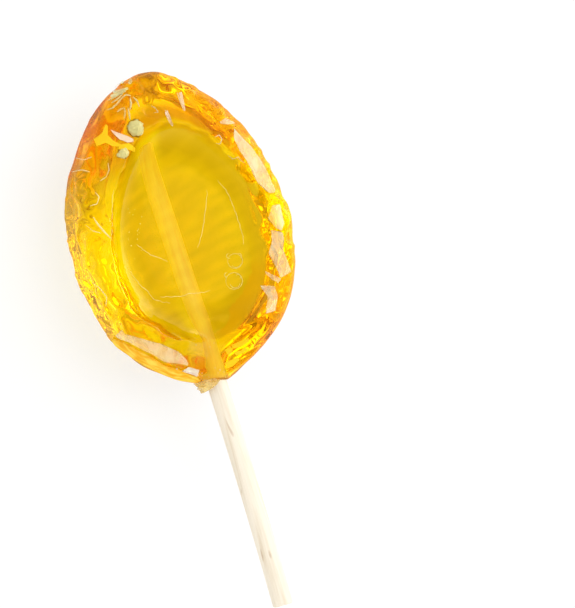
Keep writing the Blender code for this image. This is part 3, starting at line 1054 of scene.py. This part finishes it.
def build_patches(tree, name, patches, thickness, slot, material):
    """Taut pieces of film that stand a little off the candy's rim."""
    points, faces = [], []
    for outer, inner in patches:
        first_edge = along_pixels(outer, PATCH_LENGTHS)
        second_edge = along_pixels(inner, PATCH_LENGTHS)
        grid = np.zeros((PATCH_WIDTHS, PATCH_LENGTHS, 3))
        for row in range(PATCH_WIDTHS):
            share = row / (PATCH_WIDTHS - 1)
            for column in range(PATCH_LENGTHS):
                pixel = first_edge[column] * (1.0 - share) + second_edge[column] * share
                place, normal = seen_on(tree, pixel)
                grid[row, column] = place + normal * PATCH_STANDS_OFF
        first = len(points)
        points += [tuple(p) for p in smooth_grid(grid).reshape(-1, 3)]
        for row in range(PATCH_WIDTHS - 1):
            for column in range(PATCH_LENGTHS - 1):
                a = first + row * PATCH_LENGTHS + column
                faces.append((a, a + 1, a + 1 + PATCH_LENGTHS, a + PATCH_LENGTHS))
    patch = mesh_object(name, points, faces, material)
    thicken(patch, thickness)
    part_of_candy(patch, slot)


def build_film(tree):
    """The film's lines and patches on the candy."""
    film = {name: film_material(name) for name in FILMS if name != "gather_film"}
    thin, pale, flake = film["fold_line_film"], film["streak_film"], film["flake_film"]
    build_lines(tree, "fold_lines", FOLD_LINES, FOLD_LINE_RADIUS, FOLD_LINE_WIGGLE, thin)
    build_lines(tree, "ring_marks", ring_lines(), RING_MARK_RADIUS, 0.0, film["ring_film"])
    build_lines(tree, "film_streaks", STREAKS, STREAK_RADIUS, 0.0, pale)
    build_lines(tree, "film_curls", CURLS, CURL_LINE_RADIUS, 0.0, pale)
    build_lines(tree, "hem_highlight", HEM_HIGHLIGHT, CURL_LINE_RADIUS, 0.0, film["hem_highlight_film"])
    build_patches(tree, "film_highlight_patches", FILM_HIGHLIGHT_PATCHES, PATCH_THICKNESS, "clear_film", film["taut_film_highlight"])
    build_patches(tree, "film_band_highlight", BAND_HIGHLIGHT, PATCH_THICKNESS, "clear_film", film["band_highlight_film"])
    build_patches(tree, "clear_patches", CLEAR_PATCHES, PATCH_THICKNESS, "clear_film", film["white_film"])
    build_patches(tree, "film_flakes", FLAKES, PATCH_THICKNESS, "clear_film", flake)
    build_lines(tree, "flake_lines", FLAKE_LINES, FLAKE_RADIUS, 0.0, flake)
    build_patches(tree, "yellow_glints", GLINTS, PATCH_THICKNESS, "clear_film", glint_material())
    build_patches(tree, "pink_highlights", PINK_HIGHLIGHTS, PATCH_THICKNESS, "clear_film", film["pink_highlight_film"])


# The stage


def build_camera():
    to_camera, right, up = view_axes()
    data = bpy.data.cameras.new("camera")
    data.sensor_width = SENSOR
    data.lens = SENSOR * CAMERA_DISTANCE / (max(FRAME_PIXELS) * PIXEL)
    data.clip_start = 0.01
    camera = bpy.data.objects.new("camera", data)
    scene.collection.objects.link(camera)
    turn = Matrix((right, up, to_camera)).transposed()
    camera.matrix_world = Matrix.Translation(camera_place()) @ turn.to_4x4()
    scene.camera = camera


def room_light(tree, direction, inner, outer, strength, below):
    """Adds a soft round light in one direction of the room to the strength below it."""
    dot = tree.nodes.new("ShaderNodeVectorMath")
    dot.operation = "DOT_PRODUCT"
    dot.inputs[1].default_value = Vector(direction).normalized()
    ramp = tree.nodes.new("ShaderNodeMapRange")
    ramp.interpolation_type = "SMOOTHSTEP"
    ramp.inputs["From Min"].default_value = math.cos(math.radians(outer))
    ramp.inputs["From Max"].default_value = math.cos(math.radians(inner))
    ramp.inputs["To Min"].default_value = 0.0
    ramp.inputs["To Max"].default_value = strength
    add = tree.nodes.new("ShaderNodeMath")
    add.operation = "ADD"
    tree.links.new(tree.nodes["Place"].outputs["Generated"], dot.inputs[0])
    tree.links.new(dot.outputs["Value"], ramp.inputs["Value"])
    tree.links.new(ramp.outputs["Result"], add.inputs[0])
    tree.links.new(below, add.inputs[1])
    return add.outputs["Value"]


def build_room():
    """An evenly white room with soft round lights."""
    world = bpy.data.worlds.new("studio")
    scene.world = world
    world.use_nodes = True
    tree = world.node_tree
    tree.nodes.new("ShaderNodeTexCoord").name = "Place"
    level = tree.nodes.new("ShaderNodeValue")
    level.outputs["Value"].default_value = ROOM_LEVEL
    strength = level.outputs["Value"]
    for direction, inner, outer, power in ROOM_LIGHTS:
        strength = room_light(tree, direction, inner, outer, power, strength)
    tree.nodes["Background"].inputs["Color"].default_value = (1.0, 1.0, 1.0, 1.0)
    tree.links.new(strength, tree.nodes["Background"].inputs["Strength"])


def build_floor():
    material, _, shader = new_material("pale_floor", (FLOOR_ALBEDO,) * 3, 0.9)
    shader.inputs["Specular IOR Level"].default_value = 0.0
    shader.inputs["Emission Color"].default_value = (1.0, 1.0, 1.0, 1.0)
    shader.inputs["Emission Strength"].default_value = FLOOR_GLOW
    signs = [(-1, -1), (1, -1), (1, 1), (-1, 1)]
    corners = [(x * FLOOR_HALF, y * FLOOR_HALF, FLOOR_HEIGHT) for x, y in signs]
    mesh_object("floor", corners, [(0, 1, 2, 3)], material)


def set_render_looks():
    scene.view_settings.view_transform = "Standard"
    scene.cycles.use_denoising = True
    scene.cycles.max_bounces = 64
    scene.cycles.transmission_bounces = 64
    scene.cycles.glossy_bounces = 16
    scene.cycles.diffuse_bounces = 6
    scene.cycles.volume_bounces = 0
    scene.cycles.caustics_refractive = True
    scene.cycles.caustics_reflective = True


def main():
    candy = build_candy()
    bpy.context.view_layer.update()
    tree = BVHTree.FromObject(candy, bpy.context.evaluated_depsgraph_get())
    build_specks(tree)
    build_froth(tree)
    build_sparkles(tree)
    build_film(tree)
    build_patches(tree, "candy_hem", HEM, HEM_THICKNESS, "honey_candy", hem_material())
    dress_stick()
    build_gather()
    build_room()
    build_floor()
    build_camera()
    set_render_looks()


main()
